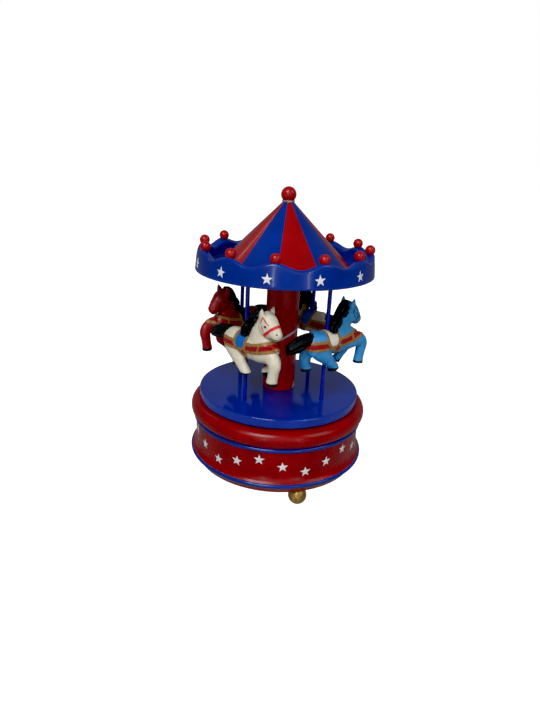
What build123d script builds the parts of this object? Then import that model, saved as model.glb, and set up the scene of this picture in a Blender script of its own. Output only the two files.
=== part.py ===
from build123d import *
import os
from math import cos, pi, radians, sin

# A painted wooden carousel with a wind-up musical movement in its base.
# Millimetres and degrees. The origin is on the floor under the turning axis, +Z is up and the
# front is towards -Y. Azimuths are counted anticlockwise from +X, seen from above.

# Feet
foot_height = 9.5
foot_ball_radius = 5.5
foot_circle = 47.6
foot_azimuths = {"foot_front": -72.0, "foot_right": 48.0, "foot_left": 168.0}
foot_screw_radius = 1.25
foot_screw_head = 2.1
foot_screw_sink = 1.5
foot_screw_length = 17.0

# Base, with heights counted from its lower edge
base_height = 39.6
base_bottom_radius = 52.0
base_edge_round = 1.2
waist_radius = 52.2
waist_flare_height = 13.5
lower_bead_height = 5.9
lower_bead_radius = 54.3
upper_bead_height = 27.9
upper_bead_radius = 52.3
bead_section = 1.25
shoulder_radius = 55.2
shoulder_height = 33.6
base_top_radius = 51.4
cavity_radius = 45.0
top_board_thickness = 6.6
arbor_hole_radius = 2.6

# Cover under the base
cover_radius = 50.2
cover_thickness = 3.0
glue_gap = 0.03
loose_gap = 0.2
cover_screw_azimuths = (-12.0, 108.0, 228.0)
cover_screw_circle = 47.6
cover_screw_radius = 1.0
cover_screw_head = 1.9
cover_screw_length = 10.0
sound_slots = 3
sound_slot_size = (26.0, 6.4)
sound_slot_pitch = 10.5

# Platform, column and poles
platform_radius = 50.0
platform_thickness = 5.7
platform_gap = 1.0
platform_round = 0.7
column_radius = 10.0
column_chamfer = 0.4
pole_radius = 1.22
pole_circle = 32.9
pole_depth = 3.0
first_pole_azimuth = -126.94

# Elastic band round the column
band_height = 81.5
band_tilt = 28.0
band_high_azimuth = 13.0
band_width = 1.1
band_thickness = 0.45

# Canopy, with heights counted from its lower edge
canopy_bottom = 120.2
ring_radius = 52.8
ring_top_radius = 51.4
ring_inner_radius = 46.5
ring_peak = 13.3
ring_valley = 10.1
ring_inner_fall = 0.9
canopy_board_thickness = 3.8
scallops = 12
first_peak_azimuth = 24.3
edge_ball_radius = 3.0
edge_ball_circle = 48.6
edge_ball_height = 14.9
edge_peg_radius = 0.9
edge_peg_length = 7.0
cone_base_radius = 38.7
cone_top_radius = 1.9
cone_height = 36.7
finial_radius = 4.4
finial_lift = 2.7
finial_peg_radius = 1.1
finial_peg_length = 10.0
roof_screw_radius = 1.5
roof_screw_head = 2.8
roof_screw_length = 22.0

# Horses: how far each nose is turned out of the circle, and how far each is raised
horse_level = 66.0
horses = {
    "white": {"turn": 6.0, "raise": 0.0},
    "blue": {"turn": 12.0, "raise": 1.3},
    "cream": {"turn": 6.0, "raise": 0.0},
    "red": {"turn": 7.0, "raise": 0.4},
}

# Sections of the horse's trunk: (forward, height, half width, half height)
trunk_sections = (
    (-15.4, 19.4, 2.6, 2.8),
    (-13.2, 19.2, 5.0, 6.0),
    (-8.0, 18.8, 6.2, 7.4),
    (0.0, 18.0, 6.2, 7.0),
    (8.0, 18.0, 6.2, 7.8),
    (15.0, 18.7, 6.0, 7.9),
    (20.0, 19.2, 4.8, 6.0),
    (22.4, 19.4, 2.6, 3.2),
)

# Chains of balls for the horse's other parts: (forward, left, up, radius)
leg_chains = (
    ((15.0, -3.4, 16.5, 4.4), (26.6, -3.7, 14.4, 3.3), (25.6, -3.7, 6.0, 2.7), (25.0, -3.7, 1.5, 2.8)),
    ((15.0, 3.4, 15.5, 4.3), (20.2, 3.7, 8.8, 3.1), (15.6, 3.7, 3.8, 2.6), (13.8, 3.7, 2.2, 2.7)),
    ((-8.5, -3.0, 16.0, 5.2), (-3.6, -3.5, 9.8, 3.8), (0.6, -3.7, 5.0, 2.9), (3.4, -3.7, 1.6, 2.8)),
    ((-9.4, 3.0, 15.5, 5.2), (-12.4, 3.6, 8.8, 3.6), (-12.0, 3.7, 4.0, 2.7), (-11.2, 3.7, 1.4, 2.8)),
)
neck_chain = ((11.5, 0.0, 20.0, 6.0), (11.6, 0.0, 27.0, 5.4), (13.2, 0.0, 33.0, 4.7), (15.4, 0.0, 37.2, 3.8))
head_chain = ((17.0, 0.0, 36.4, 4.3), (21.0, 0.0, 32.8, 3.7), (25.4, 0.0, 29.4, 2.5))
mane_chain = ((14.4, 0.0, 40.6, 1.9), (10.0, -0.8, 37.2, 2.8), (6.6, -1.4, 32.4, 3.5), (4.8, -0.8, 27.6, 2.4))
tail_chain = ((-12.0, 0.0, 22.4, 3.1), (-18.0, 0.0, 22.0, 3.8), (-24.6, 0.0, 20.2, 4.3))
ear_base = (15.9, 2.9, 38.4)
ear_spread = 0.2
ear_radii = (1.7, 0.4)
ear_length = 5.2
hoof_radii = (3.1, 2.7)
hoof_length = 2.2
hoof_sole = -0.4

# Winding arbor, flange and washer
arbor_radius = 2.0
running_gap = 0.05
arbor_tail = 1.5
arbor_sink = 0.2
flange_radius = 9.2
flange_thickness = 1.6
flange_hub_radius = 3.6
flange_hub_height = 3.6
flange_screw_circle = 6.4
flange_screws = 3
flange_screw_radius = 0.9
flange_screw_head = 1.7
flange_screw_length = 14.0
washer_radius = 8.8
washer_gap = 0.1

# Movement, hung under the top board
bedplate_thickness = 2.4
bedplate_reach = 43.5
bedplate_half_width = 21.5
bedplate_depth = (-21.5, 14.0)
bedplate_wing = (-21.5, 25.0)
bedplate_wing_depth = (14.0, 43.0)
bedplate_screws = ((-19.0, -12.0), (19.0, -12.0), (-4.5, 41.0))
bedplate_screw_length = 6.5
great_wheel_gap = 0.5
great_wheel_thickness = 1.6
great_wheel_teeth = 60
great_wheel_pitch_radius = 16.0
great_wheel_face = 2.2
pinion_teeth = 20
tooth_fill = 0.38
addendum = 0.75
dedendum = 1.2
housing_radius = 13.4
housing_drop = 0.6
housing_height = 9.0
housing_wall = 0.7
housing_post_circle = 19.0
housing_post_radius = 1.2
housing_post_azimuths = (0, 180, 270)
housing_ear_radius = 2.0
housing_arm_width = 3.0
housing_arm_thickness = 1.0
spring_turns = 5
spring_leaf = 0.45
spring_inner_radius = 2.9
spring_pitch = 1.9
spring_side_gap = 0.4
cylinder_radius = 6.5
cylinder_span = (18.6, 34.2)
cylinder_arbor_radius = 1.0
cylinder_arbor_span = (14.2, 39.2)
pinion_span = (14.9, 16.9)
front_bearing_span = (17.4, 18.3)
rear_bearing_span = (37.8, 39.0)
bearing_half_width = 2.2
wheel_span = (34.9, 36.1)
wheel_teeth = 40
train_module = 0.36
pin_radius = 0.2
pin_height = 0.8
pins_per_note = 4
pin_root = 0.4
tune_turn = 137.5
tune_shift = 0.3
notes = 18
comb_thickness = 0.9
comb_slit = 0.12
comb_reach = 9.5
comb_plate_depth = 7.0
comb_gap = 0.12
comb_screw_radius = 0.9
comb_screw_head = 1.7
comb_screw_height = 1.1
comb_screw_inset = 4.0
comb_screw_depth = 5.0
comb_screw_slot = (0.4, 0.6)
comb_root_share = (0.62, 0.34)

# Governor
governor_pinion_teeth = 10
governor_teeth = 36
governor_radius = 6.0
governor_span = (36.8, 37.6)
governor_arbor_radius = 0.5
governor_arbor_span = (33.9, 38.8)
governor_plate = 0.7
governor_bearing = 1.6
governor_margin = 1.3
governor_step = 2.0
worm_pitch_radius = 1.0
worm_core_radius = 0.7
worm_outer_radius = 1.3
worm_length = 4.4
worm_thread = 0.3
fly_radius = 3.1
fly_height = 3.4
fly_blade = 0.4
fly_hub_radius = 0.9
fly_clearance = 0.6
frame_bottom_drop = 10.0

# Heights that follow from the dimensions above
base_bottom = foot_height
base_top = base_bottom + base_height
board_under = base_top - top_board_thickness
platform_bottom = base_top + platform_gap
platform_top = platform_bottom + platform_thickness
canopy_floor = base_bottom + canopy_bottom
roof_seat = canopy_floor + canopy_board_thickness
bedplate_under = board_under - bedplate_thickness
great_wheel_top = bedplate_under - great_wheel_gap
great_wheel_under = great_wheel_top - great_wheel_thickness
great_module = 2 * great_wheel_pitch_radius / great_wheel_teeth
pinion_radius = great_module * pinion_teeth / 2
axis_height = great_wheel_under - dedendum * great_module - pinion_radius
wheel_radius = train_module * wheel_teeth / 2
governor_x = -train_module * (wheel_teeth + governor_pinion_teeth) / 2
worm_x = governor_x - governor_radius - worm_pitch_radius
worm_y = sum(governor_span) / 2
frame_bottom = axis_height - frame_bottom_drop


def polar(radius, azimuth, z=0.0):
    return Vector(radius * cos(radians(azimuth)), radius * sin(radians(azimuth)), z)


def rod(radius, start, end):
    """Round bar between two points."""
    start, end = Vector(start), Vector(end)
    plane = Plane(origin=start, z_dir=end - start)
    return Solid.make_cylinder(radius, (end - start).length, plane)


def block(x, y, z):
    """Box from three (low, high) pairs."""
    low, high = zip(x, y, z)
    size = [b - a for a, b in zip(low, high)]
    return Solid.make_box(*size, Plane(origin=low))


def turned(*edges):
    """Solid turned about the Z axis from the edges of its outline in the XZ plane."""
    return revolve(make_face(Wire(list(edges))), Axis.Z).solid()


def line(start, end):
    return Edge.make_line((start[0], 0, start[1]), (end[0], 0, end[1]))


def arc(start, middle, end):
    points = [(p[0], 0, p[1]) for p in (start, middle, end)]
    return Edge.make_three_point_arc(*points)


def path(*points):
    return [line(a, b) for a, b in zip(points, points[1:])]


def save(name, *solids):
    shape = solids[0] if len(solids) == 1 else Compound(children=list(solids))
    shape.label = name
    export_step(shape, f"parts/{name}.step")
    print(name)


def wood_screw(radius, head, length, top, direction):
    """Countersunk screw: its head's slotted face is at top and it points along direction."""
    plane = Plane(origin=top, z_dir=direction)
    depth = head - radius
    cone = Solid.make_cone(head, radius, depth, plane)
    shank = Solid.make_cylinder(radius, length - radius, plane)
    tip_plane = Plane(origin=plane.origin + plane.z_dir * (length - radius), z_dir=direction)
    tip = Solid.make_cone(radius, 0, radius, tip_plane)
    slot = plane * Box(3 * head, head / 4, depth)
    return (cone.fuse(shank, tip) - slot).solid()


def screw_hole(radius, head, length, top, direction):
    """The space that a countersunk screw fills, with its assembly gap."""
    plane = Plane(origin=top, z_dir=direction)
    depth = head - radius
    cone = Solid.make_cone(head + glue_gap, radius + glue_gap, depth, plane)
    return cone.fuse(Solid.make_cylinder(radius + glue_gap, length + glue_gap, plane))


def gear(teeth, pitch_radius, span, phase, centre):
    """Spur gear about a +Y axis. The phase is the angle of one tooth's middle from +X to +Z."""
    module = 2 * pitch_radius / teeth
    tip = pitch_radius + addendum * module
    root = pitch_radius - dedendum * module
    half = tooth_fill * pi / teeth
    corners = []
    for i in range(teeth):
        middle = radians(phase) + 2 * pi * i / teeth
        for radius, turn in ((root, -1.3), (tip, -0.7), (tip, 0.7), (root, 1.3)):
            a = middle + turn * half
            corners.append((centre[0] + radius * cos(a), span[0], centre[1] + radius * sin(a)))
    face = make_face(Polyline(*corners, close=True))
    return extrude(face, span[1] - span[0], dir=(0, 1, 0)).solid()


def foot_screw_hole(azimuth):
    top = polar(foot_circle, azimuth, foot_screw_sink)
    return screw_hole(foot_screw_radius, foot_screw_head, foot_screw_length, top, (0, 0, 1))


def foot(azimuth):
    """Ball foot cut flat under the base and on the floor, counterbored for its screw."""
    centre = polar(foot_circle, azimuth, foot_height / 2)
    slab = Pos(*centre) * Cylinder(foot_ball_radius + 1, foot_height)
    ball = Pos(*centre) * Sphere(foot_ball_radius)
    sink = rod(foot_screw_head + glue_gap, polar(foot_circle, azimuth),
               polar(foot_circle, azimuth, foot_screw_sink))
    return (ball & slab).solid() - sink - foot_screw_hole(azimuth)


def foot_screw(azimuth):
    top = polar(foot_circle, azimuth, foot_screw_sink)
    return wood_screw(foot_screw_radius, foot_screw_head, foot_screw_length, top, (0, 0, 1))


def cover_screw(azimuth, make):
    top = polar(cover_screw_circle, azimuth, base_bottom)
    return make(cover_screw_radius, cover_screw_head, cover_screw_length, top, (0, 0, 1))


def base_outline():
    """Outline of the base from its rim up the outside, in (radius, height) pairs."""
    b, t = base_bottom, base_top
    rim = cover_radius + loose_gap
    corner = base_bottom_radius - base_edge_round
    waist_top = (waist_radius, b + upper_bead_height - bead_section)
    flare_low = (lower_bead_radius + 0.2, b + lower_bead_height + bead_section)
    flare_mid = (waist_radius + 0.5, b + 9.6)
    flare_high = (waist_radius, b + waist_flare_height)
    tuck = (upper_bead_radius, b + upper_bead_height + bead_section)
    edge_low = (base_bottom_radius, b + base_edge_round)
    bead_low = (lower_bead_radius + 0.4, b + lower_bead_height - bead_section)
    round_mid = (corner + base_edge_round * sin(radians(45)),
                 edge_low[1] - base_edge_round * sin(radians(45)))
    shoulder = (shoulder_radius, b + shoulder_height)
    inside = [(base_top_radius, t), (arbor_hole_radius, t), (arbor_hole_radius, board_under),
              (cavity_radius, board_under), (cavity_radius, b + cover_thickness),
              (rim, b + cover_thickness), (rim, b)]
    return (path(inside[-1], (corner, b)) + [arc((corner, b), round_mid, edge_low)]
            + path(edge_low, bead_low, flare_low) + [arc(flare_low, flare_mid, flare_high)]
            + path(flare_high, waist_top, tuck) + [arc(tuck, shoulder, inside[0])]
            + path(*inside))


def bead(radius, height, gap=0.0):
    return Solid.make_torus(radius, bead_section + gap, Plane(origin=(0, 0, base_bottom + height)))


def base_shell():
    shell = turned(*base_outline())
    shell -= bead(lower_bead_radius, lower_bead_height, glue_gap)
    shell -= bead(upper_bead_radius, upper_bead_height, glue_gap)
    for azimuth in foot_azimuths.values():
        shell -= foot_screw_hole(azimuth)
    for azimuth in cover_screw_azimuths:
        shell -= cover_screw(azimuth, screw_hole)
    for place in bedplate_screws:
        shell -= bedplate_screw(place, screw_hole)
    return shell.solid()


def base_cover():
    disc = Solid.make_cylinder(cover_radius, cover_thickness - glue_gap,
                               Plane(origin=(0, 0, base_bottom)))
    for azimuth in foot_azimuths.values():
        disc -= foot_screw_hole(azimuth)
    for azimuth in cover_screw_azimuths:
        disc -= cover_screw(azimuth, screw_hole)
    length, width = sound_slot_size
    for i in range(sound_slots):
        y = (i - (sound_slots - 1) / 2) * sound_slot_pitch
        slot = SlotOverall(length, width)
        disc -= Pos(0, y, base_bottom - 1) * extrude(slot, cover_thickness + 2)
    return disc.solid()


def pole_axes():
    return [first_pole_azimuth + 90 * i for i in range(4)]


def pole_hole(azimuth):
    return rod(pole_radius + glue_gap, polar(pole_circle, azimuth, platform_top - pole_depth),
               polar(pole_circle, azimuth, canopy_floor + pole_depth))


def flange_screw(i, make):
    top = polar(flange_screw_circle, 90 + 360 * i / flange_screws, platform_bottom)
    return make(flange_screw_radius, flange_screw_head, flange_screw_length, top, (0, 0, 1))


def platform():
    disc = Cylinder(platform_radius, platform_thickness)
    disc = fillet(disc.edges(), platform_round)
    disc = Pos(0, 0, (platform_bottom + platform_top) / 2) * disc
    disc -= rod(flange_radius + loose_gap, (0, 0, platform_bottom - 1),
                (0, 0, platform_bottom + flange_thickness))
    disc -= rod(flange_hub_radius + loose_gap, (0, 0, platform_bottom), (0, 0, platform_top + 1))
    for azimuth in pole_axes():
        disc -= pole_hole(azimuth)
    for i in range(flange_screws):
        disc -= flange_screw(i, screw_hole)
    return disc.solid()


def platform_flange():
    plate = rod(flange_radius, (0, 0, platform_bottom), (0, 0, platform_bottom + flange_thickness))
    hub_top = platform_bottom + flange_thickness + flange_hub_height
    plate += rod(flange_hub_radius, (0, 0, platform_bottom), (0, 0, hub_top))
    plate -= rod(arbor_radius + glue_gap, (0, 0, platform_bottom - 1), (0, 0, hub_top + 1))
    for i in range(flange_screws):
        plate -= flange_screw(i, screw_hole)
    return plate.solid()


def thrust_washer():
    top = platform_bottom - washer_gap
    return (rod(washer_radius, (0, 0, base_top), (0, 0, top))
            - rod(arbor_hole_radius, (0, 0, base_top - 1), (0, 0, top + 1))).solid()


def roof_screw(make):
    top = (0, 0, roof_seat)
    return make(roof_screw_radius, roof_screw_head, roof_screw_length, top, (0, 0, -1))


def column():
    height = canopy_floor - platform_top
    post = chamfer(Cylinder(column_radius, height).edges(), column_chamfer)
    post = Pos(0, 0, platform_top + height / 2) * post
    for i in range(flange_screws):
        post -= flange_screw(i, screw_hole)
    return (post - roof_screw(screw_hole)).solid()


def column_band():
    """Closed elastic loop lying in a tilted plane against the column."""
    height = 4 * band_width + 2 * column_radius
    centre = Pos(0, 0, base_bottom + band_height)
    sleeve = centre * (Cylinder(column_radius + glue_gap + band_thickness, height)
                       - Cylinder(column_radius + glue_gap, height))
    slab = Box(8 * column_radius, 8 * column_radius, band_width)
    slab = centre * Rot(0, 0, band_high_azimuth) * Rot(0, -band_tilt, 0) * slab
    return (sleeve & slab).solid()


def wave_height(angle, fall=0.0):
    """Height of the canopy ring's top edge above the canopy's lower edge."""
    middle, amplitude = (ring_peak + ring_valley) / 2, (ring_peak - ring_valley) / 2
    turn = scallops * (angle - radians(first_peak_azimuth))
    return middle + amplitude * cos(turn) - fall


def wave_edge(radius, fall):
    steps = 8 * scallops
    points = []
    for i in range(steps):
        a = 2 * pi * i / steps
        points.append((radius * cos(a), radius * sin(a), canopy_floor + wave_height(a, fall)))
    return Edge.make_spline(points, periodic=True)


def edge_ball_axes():
    return [first_peak_azimuth + 360 * i / scallops for i in range(scallops)]


def edge_ball(azimuth, gap=0.0):
    """Ball with a glued peg. With a gap, the seat that it needs."""
    centre = polar(edge_ball_circle, azimuth, canopy_floor + edge_ball_height)
    foot = centre - Vector(0, 0, edge_peg_length + gap)
    ball = Pos(*centre) * Sphere(edge_ball_radius + gap)
    return (ball + rod(edge_peg_radius + gap, foot, centre)).solid()


def canopy_ring():
    """Turned ring whose top edge rises and falls in scallops, lower on the inside."""
    low, high = canopy_floor, canopy_floor + ring_peak + 1
    slope = (ring_radius - ring_top_radius) / ring_peak
    outline = [(ring_inner_radius, low), (ring_radius - 0.5, low), (ring_radius, low + 0.5),
               (ring_radius - slope * (high - low), high), (ring_inner_radius, high)]
    ring = turned(*path(*outline, outline[0]))
    outer = wave_edge(ring_radius + 1, -ring_inner_fall * 0.2)
    inner = wave_edge(ring_inner_radius - 1, ring_inner_fall * 1.2)
    cutter = extrude(Face.make_surface_from_curves(inner, outer), 2 * ring_peak, dir=(0, 0, 1))
    ring -= cutter
    for azimuth in edge_ball_axes():
        ring -= edge_ball(azimuth, glue_gap)
    return ring.solid()


def canopy_board():
    disc = rod(ring_inner_radius - glue_gap, (0, 0, canopy_floor), (0, 0, roof_seat))
    for azimuth in pole_axes():
        disc -= pole_hole(azimuth)
    return (disc - roof_screw(screw_hole)).solid()


def finial(gap=0.0):
    centre = (0, 0, roof_seat + cone_height + finial_lift)
    foot = (0, 0, centre[2] - finial_peg_length - gap)
    ball = Pos(*centre) * Sphere(finial_radius)
    return (ball + rod(finial_peg_radius + gap, foot, centre)).solid()


def roof_cone():
    cone = Solid.make_cone(cone_base_radius, cone_top_radius, cone_height,
                           Plane(origin=(0, 0, roof_seat)))
    seat = Pos(0, 0, roof_seat + cone_height + finial_lift) * Sphere(finial_radius + glue_gap)
    return (cone - finial(glue_gap) - seat).solid()


def horse_trunk():
    """Rump, barrel and chest lofted through upright sections."""
    faces = []
    for x, z, half_width, half_height in trunk_sections:
        plane = Plane(origin=(x, 0, z), x_dir=(0, 1, 0), z_dir=(1, 0, 0))
        faces.append(plane * Ellipse(half_width, half_height))
    return loft(faces).solid()


def chain(points):
    """Balls joined by cones."""
    solids = [Pos(x, y, z) * Sphere(radius) for x, y, z, radius in points]
    for a, b in zip(points, points[1:]):
        start, end = Vector(a[:3]), Vector(b[:3])
        plane = Plane(origin=start, z_dir=end - start)
        length = (end - start).length
        if a[3] == b[3]:
            solids.append(Solid.make_cylinder(a[3], length, plane))
        else:
            solids.append(Solid.make_cone(a[3], b[3], length, plane))
    return [s.solid() for s in solids]


def hoof(x, y):
    return Solid.make_cone(*hoof_radii, hoof_length, Plane(origin=(x, y, hoof_sole)))


def ear(side):
    x, y, z = ear_base
    plane = Plane(origin=(x, side * y, z), z_dir=(0, side * ear_spread, 1))
    return Solid.make_cone(*ear_radii, ear_length, plane)


def horse():
    """Standing horse about its pole: forward is +X, its hooves are at height 0."""
    solids = []
    for points in (*leg_chains, neck_chain, head_chain, mane_chain, tail_chain):
        solids += chain(points)
    solids += [hoof(points[-1][0], points[-1][1]) for points in leg_chains]
    solids += [ear(side) for side in (-1, 1)]
    body = horse_trunk().fuse(*solids)
    top = 2 * max(z for x, y, z, radius in mane_chain)
    return (body - rod(pole_radius + glue_gap, (0, 0, -top), (0, 0, top))).solid()


def place_horse(shape, azimuth, turn, lift):
    """Set a horse on its pole, facing anticlockwise with its nose turned outwards."""
    where = polar(pole_circle, azimuth, base_bottom + horse_level + lift)
    return Pos(*where) * Rot(0, 0, azimuth + 90 - turn) * shape


def bedplate_screw(place, make):
    """One of the screws that hold the bedplate up to the top board."""
    top = (*place, bedplate_under)
    return make(comb_screw_radius, comb_screw_head, bedplate_screw_length, top, (0, 0, 1))


def comb_screw_places():
    x = cylinder_radius + pin_height + comb_gap + comb_reach + comb_plate_depth / 2
    low, high = cylinder_span
    return [(x, low + comb_screw_inset), (x, high - comb_screw_inset)]


def bedplate():
    """Cast plate with the comb's block and the cylinder's two bearings under it."""
    top = (bedplate_under, board_under)
    plate = block((-bedplate_half_width, bedplate_half_width), bedplate_depth, top)
    plate += block(bedplate_wing, bedplate_wing_depth, top)
    comb_x = cylinder_radius + pin_height + comb_gap + comb_reach
    plate += block((comb_x, comb_x + comb_plate_depth), cylinder_span,
                   (axis_height + comb_thickness / 2, bedplate_under))
    for span in (front_bearing_span, rear_bearing_span):
        plate += block((-bearing_half_width, bearing_half_width), span,
                       (axis_height - bearing_half_width, bedplate_under))
    plate &= rod(bedplate_reach, (0, 0, 0), (0, 0, base_top))
    plate -= rod(arbor_radius + running_gap, (0, 0, 0), (0, 0, base_top))
    plate -= rod(cylinder_arbor_radius + running_gap, (0, 0, axis_height),
                 (0, base_bottom_radius, axis_height))
    plate -= rod(governor_arbor_radius, (worm_x, worm_y, bedplate_under),
                 (worm_x, worm_y, bedplate_under + 1))
    for x, y in comb_screw_places():
        plate -= rod(comb_screw_radius + glue_gap, (x, y, axis_height),
                     (x, y, axis_height + comb_screw_depth + 0.5))
    for place in bedplate_screws:
        plate -= bedplate_screw(place, screw_hole)
    return plate.solid()


def spring_housing():
    """Cup round the mainspring, hung from the bedplate on three posts."""
    high = great_wheel_under - housing_drop
    low = high - housing_height
    arm = block((0, housing_post_circle), (-housing_arm_width / 2, housing_arm_width / 2),
                (low, low + housing_arm_thickness))
    cup = rod(housing_radius, (0, 0, low), (0, 0, high))
    for azimuth in housing_post_azimuths:
        foot_point = polar(housing_post_circle, azimuth, low)
        cup += Rot(0, 0, azimuth) * arm
        cup += rod(housing_ear_radius, foot_point, foot_point + Vector(0, 0, housing_arm_thickness))
        cup += rod(housing_post_radius, foot_point, polar(housing_post_circle, azimuth, bedplate_under))
    cup -= rod(housing_radius - housing_wall, (0, 0, low + housing_wall), (0, 0, high - housing_wall))
    return (cup - rod(arbor_radius + running_gap, (0, 0, 0), (0, 0, base_top))).solid()


def mainspring():
    """Coiled leaf made of half turns that step outwards."""
    top = great_wheel_under - housing_drop
    low = top - housing_height + housing_wall + spring_side_gap
    high = top - housing_wall - spring_side_gap
    height, middle = high - low, (low + high) / 2
    step, reach = spring_pitch / 2, 2 * housing_radius
    coil = None
    for i in range(2 * spring_turns):
        radius = spring_inner_radius + step * i
        side = 1 if i % 2 == 0 else -1
        outer, inner = radius + spring_leaf / 2, radius - spring_leaf / 2
        ring = Cylinder(outer, height) - Cylinder(inner, height)
        half = ring & (Pos(0, side * reach / 2, 0) * Box(2 * reach, reach, reach))
        half = Pos(side * step / 2, 0, middle) * half
        coil = half if coil is None else coil + half
    return coil.solid()


def winding_arbor():
    low = great_wheel_under - housing_drop - housing_height - arbor_tail
    high = platform_bottom + flange_thickness + flange_hub_height - arbor_sink
    return rod(arbor_radius, (0, 0, low), (0, 0, high))


def great_wheel():
    """Wheel with crown teeth on its underside, fixed to the winding arbor."""
    inner = great_wheel_pitch_radius - great_wheel_face / 2
    outer = great_wheel_pitch_radius + great_wheel_face / 2
    disc = rod(outer, (0, 0, great_wheel_under), (0, 0, great_wheel_top))
    tip = (addendum + dedendum) * great_module
    wide = tooth_fill * pi * great_module
    root, crest = 0.65 * wide, 0.35 * wide
    profile = Polyline((0, -root, glue_gap), (0, -crest, -tip), (0, crest, -tip),
                       (0, root, glue_gap), close=True)
    tooth = extrude(make_face(profile), outer - inner, dir=(1, 0, 0))
    tooth = Pos(inner, 0, great_wheel_under) * tooth
    turns = [Rot(0, 0, 360 * i / great_wheel_teeth) for i in range(great_wheel_teeth)]
    wheel = disc.fuse(*[(turn * tooth).solid() for turn in turns])
    return (wheel - rod(arbor_radius + glue_gap, (0, 0, 0), (0, 0, base_top))).solid()


def pinned_cylinder():
    """Drum with a few pins for each note of the comb."""
    low, high = cylinder_span
    drum = rod(cylinder_radius, (0, low, axis_height), (0, high, axis_height))
    pitch = (high - low) / notes
    pins = []
    for note in range(notes):
        y = low + pitch * (note + 0.5)
        for i in range(pins_per_note):
            beat = (i + tune_shift * sin(note + i)) / pins_per_note
            turn = radians(tune_turn * note + 360 * beat)
            out = Vector(cos(turn), 0, sin(turn))
            start = Vector(0, y, axis_height) + out * (cylinder_radius - pin_root)
            pins.append(rod(pin_radius, start, start + out * (pin_height + pin_root)))
    drum = drum.fuse(*pins)
    bore = rod(cylinder_arbor_radius + glue_gap, (0, low - 1, axis_height), (0, high + 1, axis_height))
    return (drum - bore).solid()


def on_arbor(shape, radius, centre):
    x, z = centre
    return (shape - rod(radius + glue_gap, (x, 0, z), (x, base_bottom_radius, z))).solid()


def comb():
    """Steel comb: tuned teeth cut in one plate by slits."""
    low, high = cylinder_span
    tip = cylinder_radius + pin_height + comb_gap
    z = (axis_height - comb_thickness / 2, axis_height + comb_thickness / 2)
    plate = block((tip, tip + comb_reach + comb_plate_depth), (low, high), z)
    pitch = (high - low) / notes
    slits = []
    for i in range(1, notes):
        y = low + i * pitch
        length = comb_reach * (comb_root_share[0] + comb_root_share[1] * i / notes)
        across = (y - comb_slit / 2, y + comb_slit / 2)
        slits.append(block((tip - 1, tip + length), across, (z[0] - 1, z[1] + 1)))
    for x, y in comb_screw_places():
        slits.append(rod(comb_screw_radius + glue_gap, (x, y, z[0] - 1), (x, y, z[1] + 1)))
    return (plate - slits).solid()


def comb_screw(x, y):
    under = axis_height - comb_thickness / 2
    wide, deep = comb_screw_slot
    low = under - comb_screw_height
    head = rod(comb_screw_head, (x, y, low), (x, y, under))
    slot = block((x - 2 * comb_screw_head, x + 2 * comb_screw_head), (y - wide / 2, y + wide / 2),
                 (low - 1, low + deep))
    shank = rod(comb_screw_radius, (x, y, under), (x, y, axis_height + comb_screw_depth))
    return (head + shank - slot).solid()


def governor_frame():
    """Bent bracket that carries the governor wheel and the worm."""
    roof = (bedplate_under - governor_plate, bedplate_under)
    left = worm_x - fly_radius - governor_margin
    right = governor_x + governor_bearing
    front, back = governor_arbor_span
    body = block((left, right), (front, back), roof)
    body += block((left, left + governor_plate), (front, back), (frame_bottom, bedplate_under))
    body += block((left, worm_x + governor_step), (front + governor_step, back),
                  (frame_bottom, frame_bottom + governor_plate))
    for span in ((front, front + governor_plate), (back - governor_plate, back)):
        body += block((governor_x - governor_bearing, right), span,
                      (axis_height - governor_bearing, bedplate_under))
    hole = governor_arbor_radius + running_gap
    body -= rod(hole, (governor_x, front - 1, axis_height), (governor_x, back + 1, axis_height))
    body -= rod(hole, (worm_x, worm_y, 0), (worm_x, worm_y, base_top))
    return body.solid()


def governor_arbor():
    front, back = governor_arbor_span
    return rod(governor_arbor_radius, (governor_x, front, axis_height), (governor_x, back, axis_height))


def worm_lead():
    return 2 * pi * governor_radius / governor_teeth


def worm_thread_path():
    """Thread of the worm, swept along a whole number of turns about the middle of the wheel."""
    lead = worm_lead()
    turns = round(worm_length / lead)
    helix = Helix(lead, turns * lead, worm_core_radius)
    inner, outer = worm_core_radius - 0.1, worm_outer_radius
    root, crest = 0.6 * worm_thread, 0.35 * worm_thread
    profile = Polyline((inner, 0, -root), (outer, 0, -crest), (outer, 0, crest), (inner, 0, root),
                       close=True)
    thread = sweep(make_face(profile), path=helix, is_frenet=True)
    half_turn = lead / 2 if turns % 2 == 0 else 0
    return Pos(0, 0, axis_height - turns * lead / 2 + half_turn) * thread


def governor_worm():
    """One-start worm on a thin staff, with a two-bladed air brake below it."""
    reach = worm_length / 2 + 0.4
    staff = rod(governor_arbor_radius, (0, 0, frame_bottom), (0, 0, bedplate_under - 0.1))
    core = rod(worm_core_radius, (0, 0, axis_height - reach), (0, 0, axis_height + reach))
    low = frame_bottom + governor_plate + fly_clearance
    hub = rod(fly_hub_radius, (0, 0, low), (0, 0, low + fly_height))
    blades = block((-fly_radius, fly_radius), (-fly_blade / 2, fly_blade / 2), (low, low + fly_height))
    body = staff.fuse(core, hub, blades) + worm_thread_path()
    return (Pos(worm_x, worm_y, 0) * body).solid()


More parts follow.
